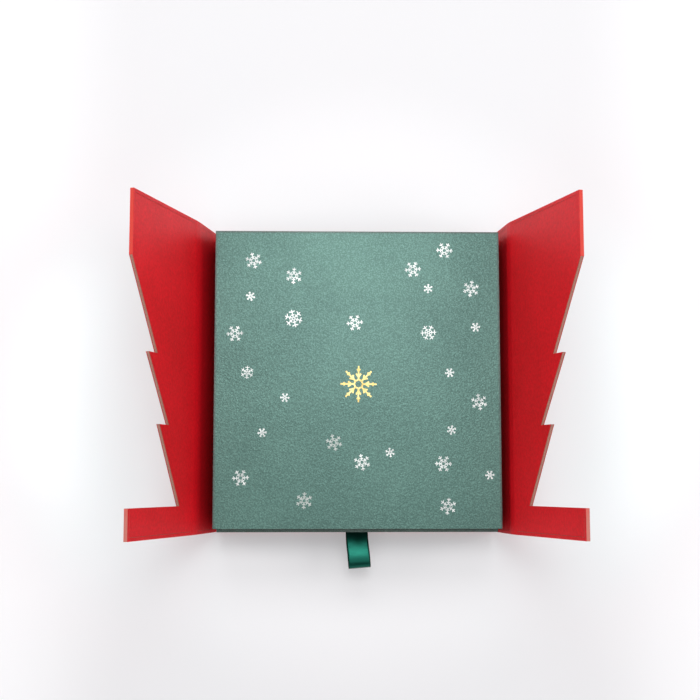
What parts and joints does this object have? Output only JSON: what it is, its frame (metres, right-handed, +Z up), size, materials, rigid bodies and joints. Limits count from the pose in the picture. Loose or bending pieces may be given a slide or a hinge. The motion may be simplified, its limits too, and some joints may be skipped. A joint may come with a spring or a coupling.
{
  "type": "gift box",
  "caption": "Flat gift box: a red paper-covered case with fir-tree cut doors folds open over a green sleeve that holds a drawer with a ribbon pull.",
  "frame": {"origin": "middle of the underside of the case's base", "axes": "+Z up out of the box's top, +X to the right, -Y towards the front with the ribbon pull"},
  "size_m": [0.2901, 0.25, 0.1575],
  "materials": {
    "greyboard": "raw cut board",
    "red_paper": "satin coated paper",
    "green_paper": "pearly grained paper with foil ornaments",
    "lining_paper": "plain uncoated paper",
    "ribbon": "satin weave",
    "steel": "plated"
  },
  "bodies": {
    "case": {"case_base_board": "greyboard", "case_base_wrap": "red_paper", "case_base_lining": "red_paper", "sleeve_top_board": "greyboard", "sleeve_bottom_board": "greyboard", "sleeve_left_board": "greyboard", "sleeve_right_board": "greyboard", "sleeve_back_board": "greyboard", "sleeve_wrap": "green_paper", "keeper_plate_front_left": "steel", "keeper_plate_front_right": "steel", "keeper_plate_rear_left": "steel", "keeper_plate_rear_right": "steel"},
    "left_side": {"left_side_board": "greyboard", "left_side_wrap": "red_paper", "left_side_lining": "red_paper"},
    "right_side": {"right_side_board": "greyboard", "right_side_wrap": "red_paper", "right_side_lining": "red_paper"},
    "left_door": {"left_door_board": "greyboard", "left_door_wrap": "red_paper", "left_door_lining": "red_paper", "left_door_magnet_front": "steel", "left_door_magnet_rear": "steel"},
    "right_door": {"right_door_board": "greyboard", "right_door_wrap": "red_paper", "right_door_lining": "red_paper", "right_door_magnet_front": "steel", "right_door_magnet_rear": "steel"},
    "drawer": {"drawer_base_board": "greyboard", "drawer_left_board": "greyboard", "drawer_right_board": "greyboard", "drawer_back_board": "greyboard", "drawer_front_board": "greyboard", "drawer_wrap": "green_paper", "drawer_lining": "lining_paper", "ribbon_pull": "ribbon"}
  },
  "joints": [
    {"name": "left_side_fold", "type": "hinge", "parent": "case", "child": "left_side", "pos_m": [-0.1059, 0, 0], "axis": [0, -1, 0], "range_deg": [-11.5, 78.5]},
    {"name": "right_side_fold", "type": "hinge", "parent": "case", "child": "right_side", "pos_m": [0.1059, 0, 0], "axis": [0, 1, 0], "range_deg": [-6, 84]},
    {"name": "left_door_fold", "type": "hinge", "parent": "left_side", "child": "left_door", "pos_m": [-0.11707, 0, 0.05493], "axis": [0, 1, 0], "range_deg": [-84.2, 95.8]},
    {"name": "right_door_fold", "type": "hinge", "parent": "right_side", "child": "right_door", "pos_m": [0.11176, 0, 0.05574], "axis": [0, -1, 0], "range_deg": [-79.5, 100.5]},
    {"name": "drawer_slide", "type": "slide", "parent": "case", "child": "drawer", "axis": [0, -1, 0], "range_m": [0, 0.2]}
  ]
}
